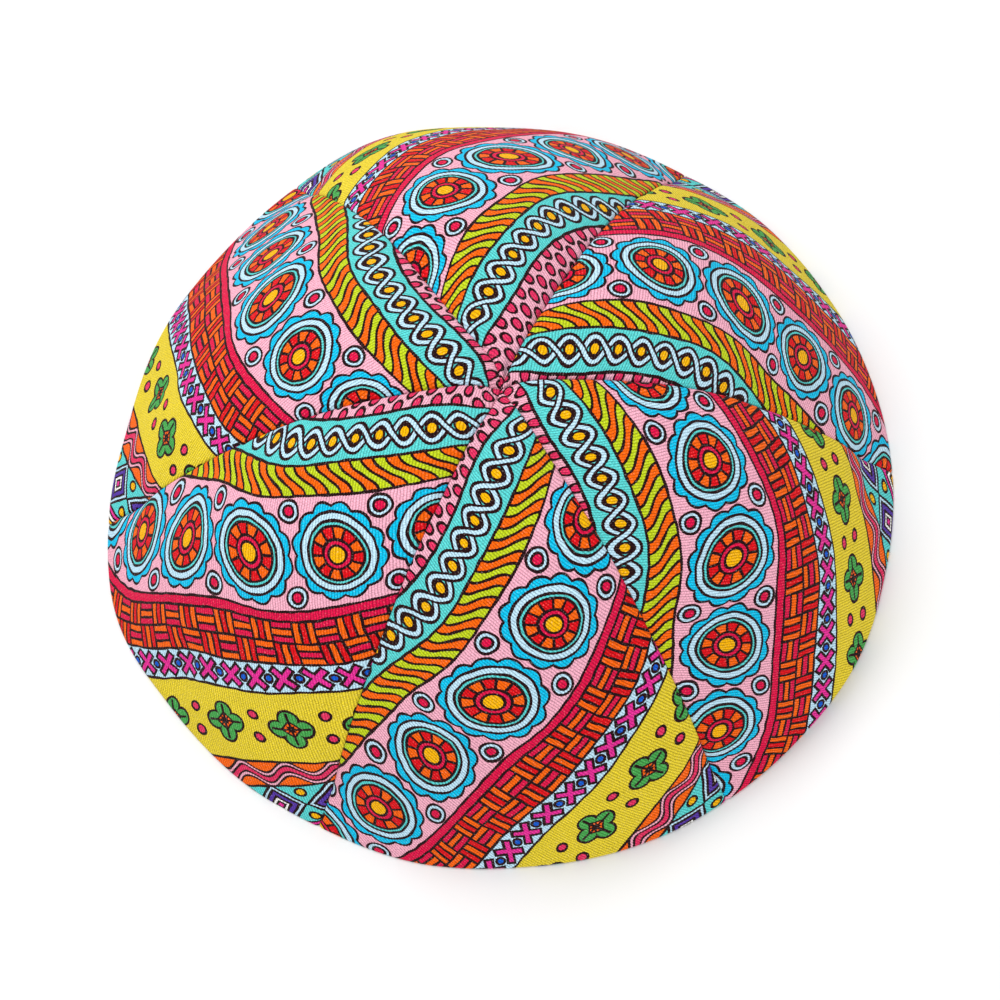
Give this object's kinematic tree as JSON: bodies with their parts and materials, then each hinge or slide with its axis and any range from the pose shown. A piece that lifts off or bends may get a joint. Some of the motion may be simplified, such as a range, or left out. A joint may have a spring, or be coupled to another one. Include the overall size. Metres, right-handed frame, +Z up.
{
  "type": "kippah",
  "caption": "Round cloth skullcap of tapering printed twill gores, sewn to a dimpled crown, with a turned hem that it stands on and a hollow open below for the head.",
  "frame": {"origin": "middle of the rim's bounding box, on the plane that the hem stands on", "axes": "+Z up through the crown, -Y towards the front gore and +Y towards the back gore, as the picture shows them; a kippah has no marked front"},
  "size_m": [0.1774, 0.18, 0.0618],
  "materials": {
    "printed_twill": "matte cotton twill with a bright many-coloured ornamental print outside, pale unprinted cotton inside"
  },
  "bodies": {
    "root": {"gore_back_right": "printed_twill", "gore_back": "printed_twill", "gore_back_left": "printed_twill", "gore_front_left": "printed_twill", "gore_front": "printed_twill", "gore_front_right": "printed_twill"}
  },
  "joints": []
}
